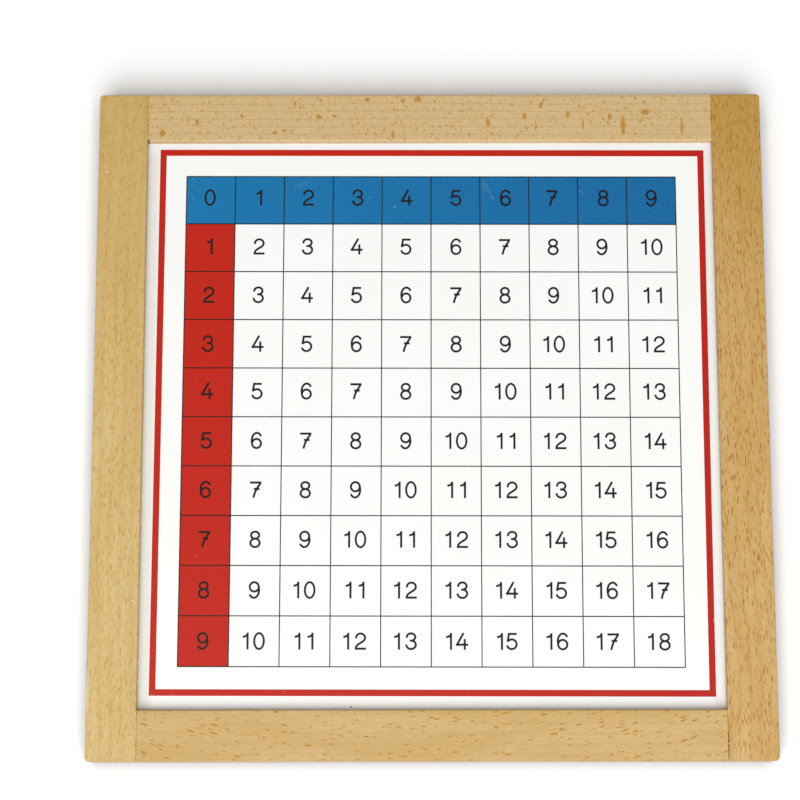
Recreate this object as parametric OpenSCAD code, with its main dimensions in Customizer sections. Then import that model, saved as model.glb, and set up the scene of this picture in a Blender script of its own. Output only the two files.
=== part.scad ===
// Addition memorization board: a printed white panel held in the grooves of a beech frame.
// The board lies on its back. X runs to the right, Y towards the blue row, Z out of the printed face.
// The origin is under the middle of the board, on the surface that it lies on.

/* [Frame] */
// Width of the board across both stiles
frame_w = 340; // [330:1:400]
// Height of the board along the stiles
frame_h = 340; // [330:1:400]
// Thickness of the frame
frame_t = 18; // [16:0.5:24]
// Width of each stile and rail, seen from the front
member_w = 25; // [20:0.5:28]
// Radius of the eased long edges
arris_r = 0.8; // [0.3:0.1:1.5]
// Radius of the four outer corners, seen from the front
corner_r = 2; // [1.8:0.1:6]

/* [Panel and joints] */
// Thickness of the panel
panel_t = 4; // [3:0.5:5]
// Depth of the panel's face below the face of the frame
recess = 4.5; // [3:0.1:6]
// Depth of the groove that holds the panel
groove_depth = 6; // [4:0.5:9]
// Play between the panel's face and the groove
panel_play = 0.2; // [0.1:0.05:0.4]
// Room left for the panel's edge to swell in the groove
edge_play = 0.5; // [0.3:0.1:1.5]
// Gap left for glue at the end of each rail's tongue
glue_gap = 0.2; // [0.1:0.1:0.5]
// Small bevel at each rail's shoulder, which shows as the joint line
shoulder_bevel = 0.25; // [0.1:0.05:0.5]

/* [Print] */
// Clearance from the frame to the red border
border_gap = 5.15; // [3:0.05:10]
// Width of the red border line
border_w = 3.2; // [1:0.1:5]
// Clearance from the red border to the number grid
grid_gap = 11.15; // [3:0.05:20]
// Width of the dark grid lines
line_w = 0.5; // [0.2:0.1:1]
// Shift of the red border to the right of the number grid's middle
border_right = 0.5; // [-1:0.1:1]
// Shift of the print to the right of the middle
print_right = 0.2; // [-1:0.1:1]
// Shift of the print above the middle
print_up = 1.6; // [-2:0.1:2]
// Turn of the print on the panel, in degrees clockwise
print_turn = 0.17; // [-0.3:0.01:0.3]
// Thickness of one layer of ink
ink_t = 0.1; // [0.05:0.05:0.3]

/* [Numerals] */
// Height of a numeral over its strokes
numeral_h = 8.45; // [7:0.05:11]
// Width of a numeral over its strokes
numeral_w = 5.9; // [4.5:0.1:6.5]
// Width of the stroke
stroke_w = 1.05; // [0.6:0.05:1.2]
// Gap between the two numerals of a pair
pair_gap = 2.2; // [1.5:0.1:3]
// Lift of the numerals above the middle of their cells
numeral_lift = 0.4; // [-1:0.1:1.5]
// Further lift of the numerals in the blue row
header_lift = 1; // [-1:0.1:1]

/* [Hidden] */
$fn = 48;

rows = 10;
beech = "#D6B580";
past = 1; // how far a cutter reaches past the face that it cuts

// The opening that shows the panel, and the panel itself, in its grooves
opening_w = frame_w - 2 * member_w;
opening_h = frame_h - 2 * member_w;
panel_w = opening_w + 2 * (groove_depth - edge_play);
panel_h = opening_h + 2 * (groove_depth - edge_play);

// Heights above the surface that the board lies on
groove_z = frame_t - recess - panel_t;
groove_w = panel_t + panel_play;
panel_face_z = groove_z + panel_t;

// The tongue on each end of a rail fills the stile's groove
tongue_l = groove_depth - glue_gap;
tongue_w = member_w - groove_depth;

// The red border, and the grid of cells inside it
border_across = opening_w - 2 * border_gap;
border_high = opening_h - 2 * border_gap;
grid_across = border_across - 2 * (border_w + grid_gap);
grid_high = border_high - 2 * (border_w + grid_gap);
cell_w = grid_across / rows;
cell_h = grid_high / rows;

// Middle lines of a numeral's strokes, as a box that its points are fractions of
glyph_w = numeral_w - stroke_w;
glyph_h = numeral_h - stroke_w;
one_share = 0.42; // place of the stem of a 1 across that box
bow_step = 15; // degrees from point to point round a bow

// What the gap after a 1 gains or loses in front of each of the numerals 0 to 8
gap_change = [0, 1.15, 0.35, 0.35, -0.15, -0.7, -0.15, 0.2, 0.25];

// The numerals are set a little unevenly: the lift of each row, and the shift to the right of each column
row_lifts = [0, 0.25, -0.05, -0.4, 0.25, 0, 0.15, 0.2, -0.05, -0.3];
column_shifts = [-0.25, -0.1, -0.35, -0.3, -0.25, 0.15, 0, -0.35, -0.45, -0.1];
blue_row_shifts = [-0.45, -0.35, -0.2, 0.1, 0.1, 0.25, 0.55, -0.6, 0.55, 0.05];

// The waste outside a rounded edge at the origin, reaching past the two faces beside it
module edge_waste(r) {
    difference() {
        translate([-past, -past]) square(r + past);
        translate([r, r]) circle(r);
    }
}

// Section of a frame member: X from its inner edge outwards, Y through its thickness
module eased_section(w) {
    difference() {
        square([w, frame_t]);
        translate([w, 0]) mirror([1, 0]) edge_waste(arris_r);
        translate([w, frame_t]) mirror([1, 0]) mirror([0, 1]) edge_waste(arris_r);
    }
}

// Section of the waste along an inner edge, at the face and at the back
module inner_edge_waste() {
    edge_waste(arris_r);
    translate([0, frame_t]) mirror([0, 1]) edge_waste(arris_r);
}

module groove_section() {
    translate([-past, groove_z]) square([groove_depth + past, groove_w]);
}

// Lays a section along Y, centred, with the section's X to the right and its Y upwards
module along_y(length) {
    translate([0, length / 2, 0]) rotate([90, 0, 0]) linear_extrude(length) children();
}

// Lays a section along X, centred, with the section's X towards +Y and its Y upwards
module along_x(length) {
    translate([-length / 2, 0, 0]) rotate([90, 0, 90]) linear_extrude(length) children();
}

// Half of a stile's outline, from its middle to its end: an eased edge across it, and a rounded corner
module half_stile() {
    straight = member_w - corner_r;
    end_y = frame_h / 2 - corner_r;
    translate([0, end_y, 0]) rotate([90, 0, 0]) linear_extrude(end_y) eased_section(member_w);
    translate([0, end_y, 0]) rotate([90, 0, 90]) linear_extrude(straight) eased_section(corner_r);
    translate([straight, end_y, 0]) rotate_extrude(angle = 90) eased_section(corner_r);
}

// The stile on the right, full height, grooved along its inner edge from end to end
module stile() {
    translate([frame_w / 2 - member_w, 0, 0]) difference() {
        for (end = [0, 1]) mirror([0, end, 0]) half_stile();
        along_y(frame_h + 2 * past) groove_section();
        along_y(opening_h) inner_edge_waste();
    }
}

// The rail at the top: a grooved bar between the stiles, with a tongue at each end
module rail() {
    translate([0, opening_h / 2, 0]) {
        intersection() {
            along_x(opening_w + 2 * past) difference() {
                eased_section(member_w);
                groove_section();
                inner_edge_waste();
            }
            shoulder_block();
        }
        for (side = [0, 1]) mirror([side, 0, 0])
            translate([opening_w / 2 - past, groove_depth, groove_z])
                cube([tongue_l + past, tongue_w, groove_w]);
    }
}

// A block as long as the rail, with a small bevel on its four end edges at face and back
module shoulder_block() {
    half = opening_w / 2;
    bevel = shoulder_bevel;
    translate([0, member_w + past, 0]) rotate([90, 0, 0]) linear_extrude(member_w + 2 * past) polygon([
        [-half, bevel], [-half + bevel, 0], [half - bevel, 0], [half, bevel],
        [half, frame_t - bevel], [half - bevel, frame_t], [-half + bevel, frame_t], [-half, frame_t - bevel]
    ]);
}

module left_stile() {
    color(beech) mirror([1, 0, 0]) stile();
}

module right_stile() {
    color(beech) stile();
}

module top_rail() {
    color(beech) rail();
}

module bottom_rail() {
    color(beech) mirror([0, 1, 0]) rail();
}

module panel() {
    color("#F8F8F6") translate([-panel_w / 2, -panel_h / 2, groove_z]) cube([panel_w, panel_h, panel_t]);
}

// Puts what is printed in its place on the panel, with Z = 0 at the panel's face
module printed() {
    translate([print_right, print_up, panel_face_z]) rotate(-print_turn) children();
}

// Middle of a cell, counted from the top left one
function cell_x(column) = (column + 0.5) * cell_w - grid_across / 2;
function cell_y(row) = grid_high / 2 - (row + 0.5) * cell_h;

module border_print() {
    color("#BE321E") printed() translate([border_right, 0, 0]) linear_extrude(ink_t) difference() {
        square([border_across, border_high], center = true);
        square([border_across - 2 * border_w, border_high - 2 * border_w], center = true);
    }
}

module blue_row() {
    translate([-grid_across / 2, grid_high / 2 - cell_h, 0]) cube([grid_across, cell_h, ink_t]);
}

module red_column() {
    translate([-grid_across / 2, -grid_high / 2, 0]) cube([cell_w, grid_high - cell_h, ink_t]);
}

module blue_row_print() {
    color("#216EA4") printed() blue_row();
}

module red_column_print() {
    color("#BE2C1D") printed() red_column();
}

// Grid lines over a block of cells, counted from the top left cell
module lines(columns, rows_down, t) {
    for (i = [0 : columns])
        translate([i * cell_w - (grid_across + line_w) / 2, (grid_high - line_w) / 2 - rows_down * cell_h, 0])
            cube([line_w, rows_down * cell_h + line_w, t]);
    for (j = [0 : rows_down])
        translate([-(grid_across + line_w) / 2, (grid_high - line_w) / 2 - j * cell_h, 0])
            cube([columns * cell_w + line_w, line_w, t]);
}

// One layer of lines on the white panel, and a second one where they cross the coloured cells
module grid_print() {
    color("#3A302A") printed() difference() {
        union() {
            lines(rows, rows, ink_t);
            lines(rows, 1, 2 * ink_t);
            lines(1, rows, 2 * ink_t);
        }
        blue_row();
        red_column();
    }
}

// Points along a bow: an arc of an oval about a centre, in fractions of the numeral's box
function bow(centre, radii, from, to) =
    let (steps = ceil(abs(to - from) / bow_step))
    [for (i = [0 : steps])
        let (a = from + (to - from) * i / steps)
        [centre[0] + radii[0] * cos(a), centre[1] + radii[1] * sin(a)]];

// Points along a curve between two ends, drawn towards two guide points
function sweep(a, b, c, d, steps = 6) =
    [for (i = [0 : steps])
        let (t = i / steps, u = 1 - t)
        u * u * u * a + 3 * u * u * t * b + 3 * u * t * t * c + t * t * t * d];

function in_mm(p) = [p[0] * glyph_w, p[1] * glyph_h];

// Direction across the stroke at one of its points, half a stroke long
function across(p, i) =
    let (along = p[min(i + 1, len(p) - 1)] - p[max(i - 1, 0)])
    [-along[1], along[0]] / norm(along) * stroke_w / 2;

// A stroke of even width along points in the numeral's box
module stroke(points) {
    p = [for (q = points) in_mm(q)];
    last = len(p) - 1;
    polygon([
        for (i = [0 : last]) p[i] + across(p, i),
        for (i = [0 : last]) p[last - i] - across(p, last - i)
    ]);
}

// A straight stroke that runs half a stroke past both of its points
module bar(a, b) {
    p = in_mm(a);
    run = in_mm(b) - p;
    translate(p) rotate(atan2(run[1], run[0]))
        translate([-stroke_w / 2, -stroke_w / 2]) square([norm(run) + stroke_w, stroke_w]);
}

// A closed oval stroke
module ring(centre, radii) {
    half = [stroke_w / 2 / glyph_w, stroke_w / 2 / glyph_h];
    difference() {
        polygon([for (p = bow(centre, radii + half, 0, 360 - bow_step)) in_mm(p)]);
        polygon([for (p = bow(centre, radii - half, 0, 360 - bow_step)) in_mm(p)]);
    }
}

module numeral_0() {
    ring([0.5, 0.5], [0.493, 0.53]);
}

module numeral_1() {
    bar([one_share, 0.01], [one_share, 0.99]);
    stroke(sweep([-0.08, 0.79], [0.2, 0.79], [0.32, 0.86], [one_share, 0.97]));
}

module numeral_2() {
    stroke(concat(
        bow([0.52, 0.726], [0.46, 0.284], 189, -19),
        sweep([0.85, 0.54], [0.675, 0.407], [-0.02, 0.27], [0.04, 0])));
    bar([0.04, 0], [0.97, 0]);
}

module numeral_3() {
    stroke(bow([0.49, 0.782], [0.432, 0.245], 192, -80));
    stroke(bow([0.49, 0.268], [0.489, 0.286], 80, -183));
    bar([0.477, 0.538], [0.617, 0.538]);
}

module numeral_4() {
    bar([0.595, 1], [-0.025, 0.275]);
    bar([-0.025, 0.275], [1, 0.275]);
    bar([0.765, 0.01], [0.765, 0.587]);
}

module numeral_5() {
    bar([0.192, 1], [0.875, 1]);
    bar([0.192, 1], [0.07, 0.54]);
    stroke(bow([0.48, 0.311], [0.497, 0.322], 133, -167));
}

module numeral_6() {
    bowl = [0.515, 0.295];
    bowl_radii = [0.463, 0.314];
    ring(bowl, bowl_radii);
    stroke(concat(bow([0.545, 0.51], [0.53, 0.52], 34, 180), [[bowl[0] - bowl_radii[0], bowl[1]]]));
}

module numeral_7() {
    bar([0.013, 0.98], [0.97, 0.98]);
    stroke(sweep([0.96, 0.98], [1, 0.82], [0.5, 0.684], [0.263, -0.053]));
    bar([0.41, 0.545], [0.788, 0.545]);
}

module numeral_8() {
    ring([0.5, 0.778], [0.418, 0.237]);
    ring([0.5, 0.254], [0.479, 0.284]);
}

module numeral_9() {
    translate([glyph_w, glyph_h]) rotate(180) numeral_6();
}

module numeral(n) {
    if (n == 0) numeral_0();
    if (n == 1) numeral_1();
    if (n == 2) numeral_2();
    if (n == 3) numeral_3();
    if (n == 4) numeral_4();
    if (n == 5) numeral_5();
    if (n == 6) numeral_6();
    if (n == 7) numeral_7();
    if (n == 8) numeral_8();
    if (n == 9) numeral_9();
}

// Width of a numeral over its strokes: a 1 is narrower than the others
function ink_w(n) = n == 1 ? one_share * glyph_w + stroke_w : numeral_w;

// One number of one or two numerals, centred on the origin
module number(n) {
    tens = floor(n / 10);
    units = n % 10;
    lead = tens > 0 ? ink_w(tens) + pair_gap + gap_change[units] : 0;
    left = -(lead + ink_w(units)) / 2 + stroke_w / 2;
    if (tens > 0) translate([left, -glyph_h / 2]) numeral(tens);
    translate([left + lead, -glyph_h / 2]) numeral(units);
}

// Every cell holds the sum of its row and its column. On a coloured cell the ink lies on the colour.
module numerals_print() {
    color("#33291F") printed() for (row = [0 : rows - 1]) for (column = [0 : rows - 1]) {
        lift = numeral_lift + row_lifts[row] + (row == 0 ? header_lift : 0);
        shift = row == 0 ? blue_row_shifts[column] : column_shifts[column];
        base = row == 0 || column == 0 ? ink_t : 0;
        translate([cell_x(column) + shift, cell_y(row) + lift, base])
            linear_extrude(ink_t) number(row + column);
    }
}

left_stile();
right_stile();
top_rail();
bottom_rail();
panel();
border_print();
blue_row_print();
red_column_print();
grid_print();
numerals_print();
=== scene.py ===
# %% [markdown]
# # An addition memorization board
#
# The board is a shallow beech frame round a white panel. The panel is screen printed with a red border
# and a table of sums: a blue row along the top, a red column down the left, and the sums in dark ink.
# The shapes come from a CAD model, so this script gives them what a shape alone doesn't have: wood grain,
# lacquer, ink, dust, light and a camera. Lengths in Blender are metres, and X runs to the right, Y towards
# the blue row and Z out of the printed face.

# %% Load the board
import math

import bpy
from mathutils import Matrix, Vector

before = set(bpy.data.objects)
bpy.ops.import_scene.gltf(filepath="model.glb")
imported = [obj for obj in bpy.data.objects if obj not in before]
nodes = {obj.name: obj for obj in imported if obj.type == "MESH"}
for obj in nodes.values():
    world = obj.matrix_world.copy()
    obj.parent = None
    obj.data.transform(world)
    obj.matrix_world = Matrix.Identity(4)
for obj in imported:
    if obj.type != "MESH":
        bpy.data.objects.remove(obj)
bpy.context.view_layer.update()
print("pieces of the board:", ", ".join(sorted(nodes)))

# %% [markdown]
# Sizes on a workbench are in millimetres, so one name turns them into Blender's metres. Colours are given
# as the hex values that a paint program shows. Blender's shaders count light, which grows faster than
# those values do, so one function turns each hex value into the linear colour that a shader needs.

# %% Units and colours
MM = 0.001


def linear(hex_colour):
    """The linear colour of an sRGB hex value."""
    shares = [int(hex_colour[i:i + 2], 16) / 255 for i in (1, 3, 5)]
    return [s / 12.92 if s <= 0.04045 else ((s + 0.055) / 1.055) ** 2.4 for s in shares] + [1.0]


print("mid grey #808080 is", round(linear("#808080")[0], 3), "in linear light")

# %% [markdown]
# A material is a tree of nodes. Each node needs to be made, set and linked, three steps that repeat a hundred
# times, so one small function does all three. What goes into a socket is a value, an output that feeds it,
# or a whole node, whose first output in use then feeds it. Two more functions start a material and put it on
# pieces of the board. Every pattern starts from the place on the board, in metres, so it keeps its real size.

# %% Add a node, start a material, put it on
def add(tree, kind, inputs=None, **settings):
    """Adds a shader node. Inputs are named or numbered sockets, each with a value or with what feeds it."""
    made = tree.nodes.new("ShaderNode" + kind)
    for name, value in settings.items():
        setattr(made, name, value)
    for socket, value in (inputs or {}).items():
        if isinstance(value, bpy.types.Node):
            value = next(output for output in value.outputs if output.enabled)
        if isinstance(value, bpy.types.NodeSocket):
            tree.links.new(value, made.inputs[socket])
        else:
            made.inputs[socket].default_value = value
    return made


def new_material(name):
    """An empty material, its tree, and the place on the board that every pattern starts from."""
    material = bpy.data.materials.new(name)
    material.use_nodes = True
    tree = material.node_tree
    tree.nodes.clear()
    place = add(tree, "TexCoord").outputs["Object"]
    return material, tree, place


def wear(material, *names):
    """Puts a finish on pieces of the board."""
    for name in names:
        nodes[name].material_slots[0].material = material
    print(material.name, "is on", ", ".join(names))


# %% [markdown]
# ## The camera
#
# The board lies flat on a table and is seen from 1.15 m above, a little from the reader's side, so its
# far edge looks shorter than its near one. A lens of 103 mm on a 36 mm sensor gives that gentle perspective.
# The tilt, 10.7 degrees, is what makes the upright lines lean together as they do. The Standard view shows
# each colour as it is, without the softening that a film would give it.

# %% Set the camera
EYE = Vector((-13.0, -203.6, 1147.1)) * MM
TILT = (10.689, 0.138, -0.065)  # degrees about X, Y and Z
camera = bpy.data.objects.new("camera", bpy.data.cameras.new("camera"))
bpy.context.scene.collection.objects.link(camera)
camera.location = EYE
camera.rotation_euler = [math.radians(angle) for angle in TILT]
camera.data.sensor_width = 36
camera.data.lens = 102.81
bpy.context.scene.camera = camera
bpy.context.scene.view_settings.view_transform = "Standard"
print("the camera is", round(EYE.length, 3), "m from the board")

# %% [markdown]
# ## The table and the light
#
# The table is plain white card, larger than any view of the board. It is one flat face, a hair's breadth
# under the board, so that the two don't share a plane.

# %% Lay the table
SHEET = 8.0  # metres across
UNDER = 0.3 * MM  # a gap too thin to see, which keeps the card and the board's back apart
corners = [(x * SHEET / 2, y * SHEET / 2, -UNDER) for x, y in ((-1, -1), (1, -1), (1, 1), (-1, 1))]
card_mesh = bpy.data.meshes.new("table_card")
card_mesh.from_pydata(corners, [], [(0, 1, 2, 3)])
card_sheet = bpy.data.objects.new("table_card", card_mesh)
bpy.context.scene.collection.objects.link(card_sheet)
print("the card is", SHEET, "m across")

# %% [markdown]
# Card scatters light evenly, so a diffuse shader is enough. For rays that see it straight on or in a
# reflection, a trace of glow lifts the open card to pure white. The glow lights nothing, and the board's
# shadow stays.
#
# Two more things happen beside the board, and an Ambient Occlusion node finds that strip, because it tells
# how much of the open sky the board hides from a point of the card. Where the board touches the card, the
# card's colour falls to six tenths of its white, a painted contact shadow. And the wood throws a warm light
# on the card. A studio picture has its table set to neutral, so in that strip the glow is bluer, which makes
# up for some of the warm light.
#
# A Mix node that mixes colours takes the share in input 0 and the two colours in inputs 6 and 7. Its other
# inputs have the same names and are for numbers and directions, so these three go by their numbers.

# %% Colour the card
CONTACT = 9 * MM  # how far out the board hides the sky from the card
card, tree, _ = new_material("white_card")
sky = add(tree, "AmbientOcclusion", {"Distance": CONTACT}).outputs["AO"]
# Painted contact shadow: the card's colour darkens where the board hides more of the sky.
painted_contact_shade = add(tree, "MapRange", {"Value": sky, "From Min": 0.5, "To Min": 0.62})
colour = add(tree, "Mix", {0: painted_contact_shade, 6: linear("#000000"), 7: linear("#FCFCFC")}, data_type="RGBA")
beside = add(tree, "MapRange", {"Value": sky, "From Min": 1.0, "From Max": 0.75})
glow_colour = add(tree, "Mix", {0: beside, 6: linear("#A0A0A0"), 7: linear("#7AA4CC")}, data_type="RGBA")
matte = add(tree, "BsdfDiffuse", {"Color": colour})
glow = add(tree, "Emission", {"Color": glow_colour, "Strength": 0.2})
both = add(tree, "AddShader", {0: matte, 1: glow})
path = add(tree, "LightPath").outputs
mirrored = add(tree, "Math", {0: path["Is Glossy Ray"], 1: path["Is Transmission Ray"]}, operation="MAXIMUM")
seen = add(tree, "Math", {0: path["Is Camera Ray"], 1: mirrored}, operation="MAXIMUM")
add(tree, "OutputMaterial", {"Surface": add(tree, "MixShader", {0: seen, 1: matte, 2: both})})
card_mesh.materials.append(card)
print(card.name, "has", len(tree.nodes), "nodes")

# %% [markdown]
# The light is that of a product table: one very large soft lamp on the reader's side, almost straight in
# front of the board, and a pale room all round. The lamp stands low enough that the near rail drops a shadow
# on the panel, and it is so wide that the shadow has no hard edge and the two stiles leave the same soft
# shade. The room stays rather dim, since the panel and its inks mirror it: a brighter one would lay a pale
# veil over the deep red and blue. Lamp and room together light the panel so that a colour renders as it was
# picked.

# %% Light the room and the lamp
world = bpy.data.worlds.new("bright_room")
bpy.context.scene.world = world
world.use_nodes = True
tree = world.node_tree
tree.nodes.clear()
room = add(tree, "Background", {"Color": linear("#FFFFFF"), "Strength": 0.35})
add(tree, "OutputWorld", {"Surface": room})

LAMP_PLACE = Vector((-0.15, -1.74, 2.42))
lamp = bpy.data.objects.new("soft_lamp", bpy.data.lights.new("soft_lamp", "AREA"))
bpy.context.scene.collection.objects.link(lamp)
lamp.data.shape = "DISK"
lamp.data.size = 3.4
lamp.data.energy = 101
lamp.location = LAMP_PLACE
lamp.rotation_euler = (-LAMP_PLACE).to_track_quat("-Z", "Y").to_euler()
print("the lamp is", round(LAMP_PLACE.length, 2), "m away")

# %% [markdown]
# ## Patterns and paint
#
# A pattern could be painted on the faces, but one that is worked out in space runs round the edges and shows
# its end grain by itself, as real wood does. So each pattern starts from the place in space, stretched by
# the real size of what it draws. A Mapping node of the type Texture does the stretching: what is `size` mm
# long on the board is one unit long for the texture.
#
# A mask is a number from 0 to 1 at each point. A finish is built as a painter would, with coats laid one
# over another, each of them only where its mask lets it.

# %% Soft patches, and coats of paint
def patches(tree, place, size, detail=2.0, start=(0, 0, 0)):
    """Noise in soft patches of size mm (x, y, z), moved by start."""
    space = add(tree, "Mapping", {
        "Vector": place, "Location": start, "Scale": [s * MM for s in size]}, vector_type="TEXTURE")
    return add(tree, "TexNoise", {"Vector": space, "Scale": 1.0, "Detail": detail})


def paint(tree, base, coats):
    """Lays coats over a base colour, one after another. A coat is (mask, strength, hex colour)."""
    for mask, strength, hex_colour in coats:
        amount = add(tree, "Math", {0: mask, 1: strength}, operation="MULTIPLY")
        base = add(tree, "Mix", {0: amount, 6: base, 7: linear(hex_colour)}, data_type="RGBA")
    return base


# %% [markdown]
# A Voronoi texture scatters dots through space, one to a cell. In a stretched space the dots turn into
# dashes, and since they lie at different depths, the saw cuts some of them wide and some only at the tip.
# From a fleck's size and from how far apart flecks are seen, the function works out the cell and the share of
# the cells that keep their fleck. Dust is drawn the same way, with cells as high as they are wide.

# %% Scatter flecks
REACH = 0.4  # how far a fleck reaches from its middle, as a share of its cell


def kept_share(size, apart):
    """The share of the cells that keep a fleck of size mm, with one to each square of apart mm on a side."""
    return min(1.0, size[0] * size[1] / (8 * REACH ** 3 * apart ** 2))


def flecks(tree, place, size, turn, apart, start=(0, 0, 0)):
    """Mask of flecks of size mm (x, y, z), turned by degrees, one to each square of apart mm on a side."""
    share = kept_share(size, apart)
    cells = add(tree, "Mapping", {
        "Vector": place, "Location": start, "Rotation": (0, 0, math.radians(turn)),
        "Scale": [s / (2 * REACH) * MM for s in size]}, vector_type="TEXTURE")
    dots = add(tree, "TexVoronoi", {"Vector": cells, "Scale": 1.0, "Randomness": 1.0}).outputs
    shape = add(tree, "MapRange", {"Value": dots["Distance"], "From Min": REACH, "From Max": REACH * 0.75})
    chance = add(tree, "SeparateColor", {"Color": dots["Color"]}).outputs["Red"]
    kept = add(tree, "MapRange", {"Value": chance, "From Min": 1 - share, "From Max": 1 - share * 0.4})
    return add(tree, "Math", {0: shape, 1: kept}, operation="MULTIPLY")


print("of the cells for a ray of 3.2 x 1 mm,", round(kept_share((3.2, 1.0), 6.5) * 100), "% keep theirs")

# %% [markdown]
# Some marks are what one knows this board by, such as a chip or a scratch, and each of those has a place of
# its own. They could be painted on an image, but that needs an unwrapped mesh, and an image blurs when seen
# close. Here each is an oval, worked out as the distance from its middle in a space where the oval is a ball.

# %% Place one mark
MARK_HEIGHT = 16 * MM  # between the face of the panel and that of the frame, so that marks reach both
MARK_DEPTH = 6 * MM


def mark(tree, place, x, y, half_w, half_h, turn, soft=0.3):
    """Mask of one oval mark at (x, y) mm, turned by degrees. soft is the share of it that fades."""
    near = add(tree, "Mapping", {
        "Vector": place, "Location": (x * MM, y * MM, MARK_HEIGHT), "Rotation": (0, 0, math.radians(turn)),
        "Scale": (half_w * MM, half_h * MM, MARK_DEPTH)}, vector_type="TEXTURE")
    off = add(tree, "VectorMath", {0: near}, operation="LENGTH").outputs["Value"]
    return add(tree, "MapRange", {"Value": off, "From Min": 1.0, "From Max": 1 - soft})


lowest, highest = MARK_HEIGHT - MARK_DEPTH, MARK_HEIGHT + MARK_DEPTH
print("a mark reaches from", round(lowest / MM), "to", round(highest / MM), "mm above the table")

# %% [markdown]
# ## The beech
#
# The four members of the frame are beech with a satin lacquer. Beech is pale and close grained. Three things
# show in it: faint growth rings, fine fibres along the grain, and the rays, which are thin brown flecks.
# How the plank was sawn decides which of them stands out.
#
# A tree doesn't grow straight, so the lines that rings, fibres and flecks follow are bent. The mesh stays as
# it is. What is bent is the place where each point looks its pattern up: it sways from side to side in slow
# waves. In a rail from a bowed plank, the flecks also rise towards both ends.

# %% Bend the grain
RAIL_END = 145 * MM  # the rails end here, at the stiles' inner edges


def grain_size(along, length, width):
    """Size (x, y, z) of what is long along the grain, for a grain along "x" or "y"."""
    return (length, width, width) if along == "x" else (width, length, width)


def bend_grain(tree, place, along, sway, bow, start):
    """Where rings and fibres, and where rays, are looked up.

    sway is (mm to the side, mm from wave to wave). bow is how many mm the rays rise at a rail's ends.
    """
    wave = patches(tree, place, grain_size(along, sway[1], 60), 0.0, start)
    aside = add(tree, "Math", {0: wave, 1: sway[0] * MM}, operation="MULTIPLY")
    step = add(tree, "CombineXYZ", {"Y" if along == "x" else "X": aside})
    grain = add(tree, "VectorMath", {0: place, 1: step}, operation="SUBTRACT")
    if not bow:
        return grain, grain
    from_middle = add(tree, "SeparateXYZ", {0: place}).outputs["X"]
    square = add(tree, "Math", {0: from_middle, 1: 2.0}, operation="POWER")
    rise = add(tree, "Math", {0: square, 1: bow * MM / RAIL_END ** 2}, operation="MULTIPLY")
    step = add(tree, "CombineXYZ", {"Y": rise})
    return grain, add(tree, "VectorMath", {0: grain, 1: step}, operation="SUBTRACT")


print("a streak of 80 x 12 mm along a rail has the size", grain_size("x", 80, 12))

# %% [markdown]
# A member's colour is built in the order in which one sees it. First comes a slow drift between a pale and a
# deeper tone, and a third tone that the end away from the reader leans to. Then come the growth rings, and
# then the fibres. Real fibres are a few hundredths of a millimetre wide. They are drawn half a millimetre
# wide, as bundles, or none would show.
#
# Rings could be drawn with noise too, but a Wave texture keeps them about evenly apart, and its distortion
# makes them waver. It draws 20 bands in 2 pi units. The scale below makes that one band to a unit, and a unit
# is then stretched to the distance from ring to ring.

# %% Grow the wood
ONE_RING = math.pi / 10
FAR_START, FAR_END = -10 * MM, 170 * MM  # the far tone comes in between these, along Y


def grow(tree, place, grain, along, tones, ring, fibres, start):
    """The noise of the drift, that of the fibres, and the coats of both and of the rings.

    tones is (deep, far, ring) and ring is (spacing in mm, share of the line, strength, waver).
    """
    deep, far, ring_tone = tones
    spacing, line, ring_strength, waver = ring
    drift = patches(tree, grain, grain_size(along, 80, 12), 2.0, start)
    deeper = add(tree, "MapRange", {"Value": drift, "From Min": 0.35, "From Max": 0.65},
                 interpolation_type="SMOOTHSTEP")
    upward = add(tree, "SeparateXYZ", {0: place}).outputs["Y"]
    farther = add(tree, "MapRange", {"Value": upward, "From Min": FAR_START, "From Max": FAR_END})
    space = add(tree, "Mapping", {
        "Vector": grain, "Location": start,
        "Scale": [s * MM for s in grain_size(along, spacing * 14, spacing)]}, vector_type="TEXTURE")
    bands = add(tree, "TexWave", {
        "Vector": space, "Scale": ONE_RING, "Distortion": waver, "Detail": 2.0, "Detail Scale": 1.0,
    }, bands_direction="Y" if along == "x" else "X").outputs["Fac"]
    rings = add(tree, "MapRange", {"Value": bands, "From Min": 1 - line, "From Max": 1.0})
    fibre = patches(tree, grain, grain_size(along, 7, 0.5), 2.0, start)
    fine = add(tree, "MapRange", {"Value": fibre, "From Min": 0.38, "From Max": 0.72})
    return drift, fibre, [(deeper, 1.0, deep), (farther, 0.65, far), (rings, ring_strength, ring_tone),
                          (fine, fibres, ring_tone)]


print("a ring to each unit needs the scale", round(ONE_RING, 4))

# %% [markdown]
# Marks in wood have ragged edges, which a plain oval doesn't have. So the place that they are measured from
# is shaken by less than a millimetre, and each oval comes out uneven.

# %% Place marks in the wood
SHAKE = 1.6 * MM  # from the lowest to the highest value of the noise, which seldom gets near either


def ragged_marks(tree, place, marks, start):
    """Coats of marks. A mark is (x, y, half width, half height) in mm, turn, hex colour and strength."""
    shake = patches(tree, place, (0.9, 1.6, 1), 1.0, start).outputs["Color"]
    centred = add(tree, "VectorMath", {0: shake, 1: (0.5, 0.5, 0.5)}, operation="SUBTRACT")
    ragged = add(tree, "VectorMath", {0: centred, 1: (SHAKE,) * 3, 2: place}, operation="MULTIPLY_ADD")
    return [(mark(tree, ragged, x, y, half_w, half_h, turn), strength, hex_colour)
            for x, y, half_w, half_h, turn, hex_colour, strength in marks]


print("marks in wood are shaken by up to", SHAKE / MM / 2, "mm")

# %% [markdown]
# Where a rail's shoulder meets a stile, the end grain drank glue and dirt and went dark in a thin broken
# line. The line is where the place is within a third of a millimetre of the shoulder. Where a shoulder was
# not pulled up tight, the joint stands open by a hair and shows as a row of dark dashes.

# %% Darken the joints
HOLE = "#4A2414"


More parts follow.
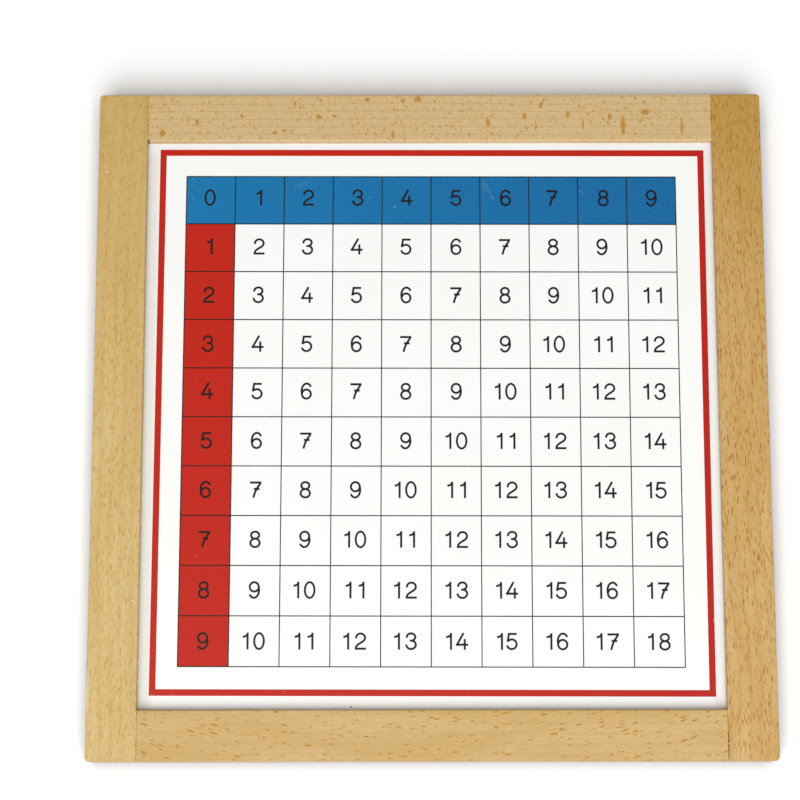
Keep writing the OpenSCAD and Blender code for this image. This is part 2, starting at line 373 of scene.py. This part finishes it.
def joint_lines(tree, place, joints, start):
    """Coats of the glue lines and of open joints. A joint is (x, y, half width, half height) in mm."""
    side = add(tree, "Math", {0: add(tree, "SeparateXYZ", {0: place})}, operation="ABSOLUTE")
    beyond = add(tree, "Math", {0: side, 1: RAIL_END}, operation="SUBTRACT")
    off = add(tree, "Math", {0: beyond}, operation="ABSOLUTE")
    near = add(tree, "MapRange", {"Value": off, "From Min": 0.35 * MM, "From Max": 0.1 * MM})
    broken = patches(tree, place, (20, 1.3, 6), 1.0, start)
    stretches = add(tree, "MapRange", {"Value": broken, "From Min": 0.4, "From Max": 0.65})
    line = add(tree, "Math", {0: near, 1: stretches}, operation="MULTIPLY")
    coats = [(line, 0.3, "#6E4E2A")]
    dashes = add(tree, "MapRange", {"Value": broken, "From Min": 0.4, "From Max": 0.55},
                 interpolation_type="SMOOTHSTEP")
    for x, y, half_w, half_h in joints:
        oval = mark(tree, place, x, y, half_w, half_h, 0)
        coats.append((add(tree, "Math", {0: oval, 1: dashes}, operation="MULTIPLY"), 1.0, HOLE))
    return coats


print("the shoulders are", round(RAIL_END / MM), "mm to either side of the middle")

# %% [markdown]
# Now the parts come together. The lacquer fills the pores and leaves the surface almost flat: fibres raise it
# and flecks dent it by a few hundredths of a millimetre, and the finish has the soft shine of a roughness
# near 0.4 and a varnish IOR of 1.5. The shader could lay a clear coat over the wood, but so thin a satin film
# looks the same without. Each layer of flecks starts at another place, or the flecks of two layers would lie
# on each other. The rounded edge on the reader's side is darkened with a brown painted shade.

# %% Make a beech finish
LACQUER_IOR = 1.5
LAYER_SHIFT = 3.7 * MM
EDGE_START, EDGE_END = -168.9 * MM, -169.7 * MM  # the painted shade on the near edge comes in between these, along Y


def lacquered_beech(name, along, start, pale, tones, ring, fibres, sway, layers, marks=(), joints=(),
                    bow=0.0):
    """Satin lacquered beech, with its grain along "x" or "y" and its patterns moved by start.

    tones, ring, sway, bow, marks and joints are as above, and fibres is a strength. Each layer of flecks is
    ((x, y, z) in mm, turn, mm apart, hex colour, strength).
    """
    material, tree, place = new_material(name)
    grain, ray_grain = bend_grain(tree, place, along, sway, bow, start)
    drift, relief, coats = grow(tree, place, grain, along, tones, ring, fibres, start)
    for count, (size, turn, apart, hex_colour, strength) in enumerate(layers):
        mask = flecks(tree, ray_grain, size, turn, apart, [s + count * LAYER_SHIFT for s in start])
        coats.append((mask, strength, hex_colour))
        relief = add(tree, "Math", {0: relief, 1: mask}, operation="SUBTRACT")
    coats += ragged_marks(tree, place, marks, start) + joint_lines(tree, place, joints, start)
    # A brown painted shade on the rounded edge on the reader's side.
    upward = add(tree, "SeparateXYZ", {0: place}).outputs["Y"]
    painted_edge_shade = add(tree, "MapRange", {"Value": upward, "From Min": EDGE_START, "From Max": EDGE_END})
    coats.append((painted_edge_shade, 0.5, "#A07430"))

    bump = add(tree, "Bump", {"Height": relief, "Strength": 0.35, "Distance": 0.04 * MM})
    sheen = add(tree, "MapRange", {
        "Value": drift, "From Min": 0.3, "From Max": 0.7, "To Min": 0.38, "To Max": 0.46})
    varnish = add(tree, "BsdfPrincipled", {
        "Base Color": paint(tree, linear(pale), coats), "Roughness": sheen, "IOR": LACQUER_IOR,
        "Normal": bump})
    add(tree, "OutputMaterial", {"Surface": varnish})
    return material


print("the browned edge is", round((EDGE_START - EDGE_END) / MM, 1), "mm wide")

# %% [markdown]
# The far rail is quarter sawn: the saw went towards the heart, so the growth rings show as straight faint
# lines about 4 mm apart. The rays lie flat in the face and show as flecks that stand across those lines.
# Where the saw ran along a whole ray it left a broad fleck, and those one remembers a board by, so the broad
# ones are placed one by one: two tall ones near the right end, and blotches along the rest. A small dark hole
# marks the corner that stayed open.

# %% The far rail
RAY = "#B88010"
broad_rays = [  # x, y, half width and half height in mm, and turn in degrees
    (-137.5, 149.5, 1.9, 2.3, 20), (-119.8, 155.3, 1.1, 2.2, 25), (-96.7, 158.5, 0.9, 1.7, 15),
    (-79.6, 149.6, 1.3, 1.4, 0), (-75.0, 150.7, 1.6, 0.9, 0), (-57.0, 157.9, 1.9, 1.5, 0),
    (-32.3, 167.2, 1.8, 1.2, 20), (-6.0, 167.4, 2.3, 1.7, -20), (-18.9, 148.5, 0.9, 3.0, 0),
    (30.0, 154.5, 1.3, 2.7, 12), (48.8, 158.5, 1.4, 2.1, 0), (71.0, 159.0, 1.1, 2.1, 8),
    (92.8, 157.8, 1.3, 2.0, 10), (110.9, 160.3, 2.7, 2.0, 0), (99.4, 152.8, 1.5, 6.2, 0),
    (129.7, 152.7, 0.9, 6.2, 0), (57.4, 164.1, 1.1, 2.6, -20), (-49.0, 158.3, 1.6, 0.9, -25),
    (-13.6, 166.6, 1.2, 1.6, -20), (-69.5, 164.6, 0.6, 2.6, 0), (78.8, 153.6, 0.6, 3.6, 0),
    (54.6, 152.6, 0.5, 5.0, 0),
]
wear(lacquered_beech(
    "quarter_sawn_beech_far_rail", "x", (0.1, 0.03, 0.02),
    pale="#DBC092", tones=("#D5B886", "#D2B37F", "#BA945A"),
    ring=(4.0, 0.09, 0.45, 1.6), fibres=0.25, sway=(1.5, 90),
    layers=[
        ((0.9, 1.9, 0.7), 22, 2.6, "#BE8A1E", 0.45),
        ((1.0, 1.7, 0.7), 22, 3.4, "#BC8618", 0.6),
        ((1.3, 2.4, 0.9), 18, 5.5, RAY, 0.65),
        ((0.8, 7.0, 1.0), 0, 5.0, "#BE8A1E", 0.25),
    ],
    marks=[(*ray, RAY, 0.85) for ray in broad_rays] + [(-144.6, 145.4, 0.6, 0.9, 0, HOLE, 0.9)],
    joints=[(-144.9, 152.0, 0.3, 5.0), (145.0, 158.0, 0.3, 9.0)]), "top_rail")

# %% [markdown]
# The near rail is sawn a little askew, and its rays are long thin flecks almost along the grain. The plank's
# grain is bowed, so the flecks slant down to the right in its left half and up to the right in the other. A
# turn would slant them all one way, so the bow is used. Four layers, from small faint flecks to long dark
# ones, keep them from looking stamped.

# %% The near rail
wear(lacquered_beech(
    "slant_sawn_beech_near_rail", "x", (0.3, 0.07, 0.05),
    pale="#D2B37A", tones=("#CAA869", "#CEAF73", "#BC9248"),
    ring=(5.0, 0.3, 0.18, 2.0), fibres=0.5, sway=(1.5, 60), bow=26,
    layers=[
        ((1.7, 0.8, 0.6), 0, 3.8, RAY, 0.5),
        ((3.2, 1.0, 0.8), 0, 6.5, RAY, 0.85),
        ((4.6, 1.2, 0.8), 0, 9.0, RAY, 1.0),
        ((2.6, 1.0, 0.7), 0, 6.5, RAY, 0.8),
    ],
    marks=[(-145.2, -146.6, 0.35, 1.4, 0, HOLE, 0.9)],
    joints=[(-145.0, -160.0, 0.3, 7.0), (145.1, -163.0, 0.38, 9.0)]), "bottom_rail")

# %% [markdown]
# The stiles are flat sawn. The rays are cut end on and show as short dashes along the grain. Real ones are a
# quarter of a millimetre thin. They are drawn at half a millimetre, or none would be seen from a step away.
# The left stile has a few chips in its lacquer, and a pale painted highlight runs along its outer edge
# towards the near corner.

# %% The left stile
CHIP_AND_HIGHLIGHT = "#F2E8D0"
DASH = "#B88400"
wear(lacquered_beech(
    "flat_sawn_beech_left_stile", "y", (0.2, 0.11, 0.03),
    pale="#D7BC80", tones=("#D0B374", "#C6A35C", "#BE8E3C"),
    ring=(6.0, 0.4, 0.2, 3.0), fibres=0.25, sway=(8, 110),
    layers=[
        ((0.5, 2.8, 1.6), -7, 2.0, DASH, 0.48),
        ((0.5, 3.6, 2.2), -7, 3.0, DASH, 0.6),
        ((0.5, 3.2, 2.2), -7, 4.0, DASH, 0.72),
    ],
    marks=[
        (-162.7, 167.9, 0.5, 0.4, 0, CHIP_AND_HIGHLIGHT, 0.8), (-165.6, 128.7, 0.5, 0.5, 0, CHIP_AND_HIGHLIGHT, 0.8),
        # The long pale oval at the end of this line is a painted highlight on the outer edge; the others are
        # chips.
        (-147.9, -91.5, 0.5, 0.7, 30, CHIP_AND_HIGHLIGHT, 0.8), (-169.2, -135.0, 0.7, 14.0, 0, CHIP_AND_HIGHLIGHT, 0.4),
    ]), "left_stile")

# %% [markdown]
# The right stile is cut from a browner board. Its growth rings wander across the face in long slanting
# bands. A wide sway of the grain makes them, and since the dashes follow the same grain, they lean along.

# %% The right stile
wear(lacquered_beech(
    "flat_sawn_beech_right_stile", "y", (0.4, 0.05, 0.06),
    pale="#D4B075", tones=("#CAA460", "#B3892C", "#B67C1C"),
    ring=(5.0, 0.22, 0.25, 3.5), fibres=0.2, sway=(14, 120),
    layers=[
        ((0.5, 3.2, 1.6), 2, 2.4, "#A66C00", 0.8),
        ((0.55, 4.0, 2.2), 2, 3.2, "#A06400", 0.9),
        ((0.9, 6.5, 2.2), 2, 8.0, "#B4780A", 0.65),
    ],
    joints=[(145.1, -163.0, 0.3, 9.0)]), "right_stile")

# %% [markdown]
# ## The panel
#
# The panel is a board faced with smooth white laminate. Outside the red border its colour is darkened along
# the frame's walls as painted shade: deepest and warm at the left, greyer at the right, and a little blue at
# the far side. The near margin has none. One mask for the whole rim would tint all sides alike, so each
# margin has a mask of its own, which looks outward from the middle.

# %% Colour the panel's face
MARGIN_START, MARGIN_END = 137.5 * MM, 141 * MM  # a margin's painted shade comes in between these
laminate, tree, place = new_material("white_laminate_on_plywood")
xyz = add(tree, "SeparateXYZ", {0: place}).outputs
leftward = add(tree, "Math", {0: xyz["X"], 1: -1.0}, operation="MULTIPLY")
face_coats = [(patches(tree, place, (60, 60, 60)), 1.0, "#F6F6F3")]
# Painted shade along the left, right and far margins, beside the frame's walls.
for outward, shade_tint in ((leftward, "#E7E5DE"), (xyz["X"], "#EEEFED"), (xyz["Y"], "#ECF0F3")):
    painted_margin_shade = add(tree, "MapRange", {"Value": outward, "From Min": MARGIN_START, "From Max": MARGIN_END})
    face_coats.append((painted_margin_shade, 1.0, shade_tint))
face_colour = paint(tree, linear("#FBFBF9"), face_coats)
print("the panel's face has", len(face_coats), "coats")

# %% [markdown]
# Nobody prints the panel's back, which is bare plywood. The side that a point belongs to is read from its
# normal, which points up on the face. One dark speck of dirt lies by the near rail. Laminate is pressed
# against a polished plate, so it is flat and has a satin shine, with a very faint ripple that is only seen in
# reflections. Bare plywood is much duller.

# %% Finish the panel
LAMINATE_IOR = 1.5
LAMINATE_SHINE, PLYWOOD_SHINE = 0.28, 0.7  # roughness
back_colour = paint(tree, linear("#DCC7A2"), [(patches(tree, place, (60, 1.2, 4), 4.0), 1.0, "#C7A97C")])
up = add(tree, "SeparateXYZ", {0: add(tree, "TexCoord").outputs["Normal"]}).outputs["Z"]
front = add(tree, "Math", {0: up, 1: 0.5}, operation="GREATER_THAN")
sides = add(tree, "Mix", {0: front, 6: back_colour, 7: face_colour}, data_type="RGBA")
speck = mark(tree, place, -39.8, -143.4, 0.6, 0.5, 0)
ripple = patches(tree, place, (2.5, 2.5, 2.5))
bump = add(tree, "Bump", {"Height": ripple, "Strength": 0.1, "Distance": 0.02 * MM})
shine = add(tree, "MapRange", {"Value": front, "To Min": PLYWOOD_SHINE, "To Max": LAMINATE_SHINE})
faced_board = add(tree, "BsdfPrincipled", {
    "Base Color": paint(tree, sides, [(speck, 1.0, "#4A4038")]), "Roughness": shine, "IOR": LAMINATE_IOR,
    "Normal": bump})
add(tree, "OutputMaterial", {"Surface": faced_board})
wear(laminate, "panel")

# %% [markdown]
# ## The inks
#
# The table was screen printed: ink is pushed through a mesh, and lies on the laminate as a flat film with a
# satin surface. Seen close, the film is never quite even, because each thread of the mesh leaves a little
# less ink. The ink is also lighter at the left, a painted light that fades out to the right. Then come years
# of
# use: dust specks caught in the film, and scuffs, which show pale.

# %% Mix a screen ink
MESH_PITCH = 0.9  # mm, several threads of the screen at once, so that the unevenness still shows from afar
LEFT_LIGHT_REACH = 125 * MM  # the painted light is full this far left of the middle, and gone as far to the right
DUST = 0.6  # mm, coarser than real dust, or none of it would show
INK_IOR = 1.45


def screen_ink(name, full_tone, thin_and_lit_tone, worn_tone, dust_apart, scuffs=()):
    """A film of screen ink with an uneven thickness, a painted light towards the left, dust specks dust_apart
    mm apart, and scuffs.

    Each scuff is (x, y, half width, half height) in mm, a turn in degrees and a strength.
    """
    material, tree, place = new_material(name)
    film = patches(tree, place, (MESH_PITCH,) * 3)
    mesh = add(tree, "MapRange", {"Value": film, "From Min": 0.35, "From Max": 0.75, "To Max": 0.5})
    rightward = add(tree, "SeparateXYZ", {0: place}).outputs["X"]
    # Painted light: the ink is lighter towards the left.
    painted_left_light = add(tree, "MapRange", {
        "Value": rightward, "From Min": LEFT_LIGHT_REACH, "From Max": -LEFT_LIGHT_REACH, "To Max": 0.5})
    thin_film_and_painted_light = add(tree, "Math", {0: mesh, 1: painted_left_light}, operation="ADD")
    coats = [(thin_film_and_painted_light, 1.0, thin_and_lit_tone), (flecks(tree, place, (DUST,) * 3, 0, dust_apart), 0.4, worn_tone)]
    for x, y, half_w, half_h, turn, strength in scuffs:
        coats.append((mark(tree, place, x, y, half_w, half_h, turn, 0.9), strength, worn_tone))
    bump = add(tree, "Bump", {"Height": film, "Strength": 0.15, "Distance": 0.02 * MM})
    ink = add(tree, "BsdfPrincipled", {
        "Base Color": paint(tree, linear(full_tone), coats), "Roughness": 0.3, "IOR": INK_IOR,
        "Normal": bump})
    add(tree, "OutputMaterial", {"Surface": ink})
    return material


print("the film is uneven from one", MESH_PITCH, "mm to the next")

# %% [markdown]
# Three inks are printed, and the first is the blue of the row. It has been scratched beside its 6 and rubbed
# dull above its 2, and a few pale specks are in it.

# %% Print the blue row
wear(screen_ink("blue_screen_ink", "#02609A", "#0A7BB2", "#C8DAE6", 34.0, scuffs=[
    (30.0, 120.4, 0.5, 5.0, 20, 0.13), (31.8, 116.2, 0.4, 2.0, 35, 0.35), (27.5, 122.5, 3.0, 4.5, 20, 0.06),
    (-66.0, 123.0, 6.0, 2.0, 20, 0.06), (-18.1, 111.3, 0.55, 0.55, 0, 1.0),
    (-31.0, 116.2, 0.45, 0.45, 0, 0.5), (77.3, 119.5, 0.55, 0.45, 0, 0.5), (78.6, 117.9, 0.4, 0.4, 0, 0.4),
    (-121.9, 126.4, 0.5, 0.4, 0, 0.4), (-121.7, 115.6, 0.5, 0.4, 0, 0.4),
]), "blue_row_print")

# %% [markdown]
# The border and the column are the same red. The border has a nick at the right, and its near left corner is
# scuffed along the line. The lines and the numerals are a warm black, which is brown where the film is thin
# and towards the left, where the painted light lies.

# %% Print the red and the black
wear(screen_ink("red_screen_ink", "#B81400", "#C21E00", "#E8B0A0", 34.0, scuffs=[
    (140.3, -100.2, 0.7, 1.1, -25, 0.9), (139.9, -101.4, 0.35, 1.2, -10, 0.7),
    (-73.1, -135.8, 0.7, 0.5, 0, 0.5), (-137.9, -137.3, 1.6, 0.6, 15, 0.3),
    (-134.0, -137.8, 2.2, 0.4, 5, 0.3), (-128.0, -137.2, 1.4, 0.4, 0, 0.25),
]), "red_column_print", "border_print")
wear(screen_ink("black_screen_ink", "#0E0A08", "#1A130F", "#54463E", 60.0), "grid_print", "numerals_print")
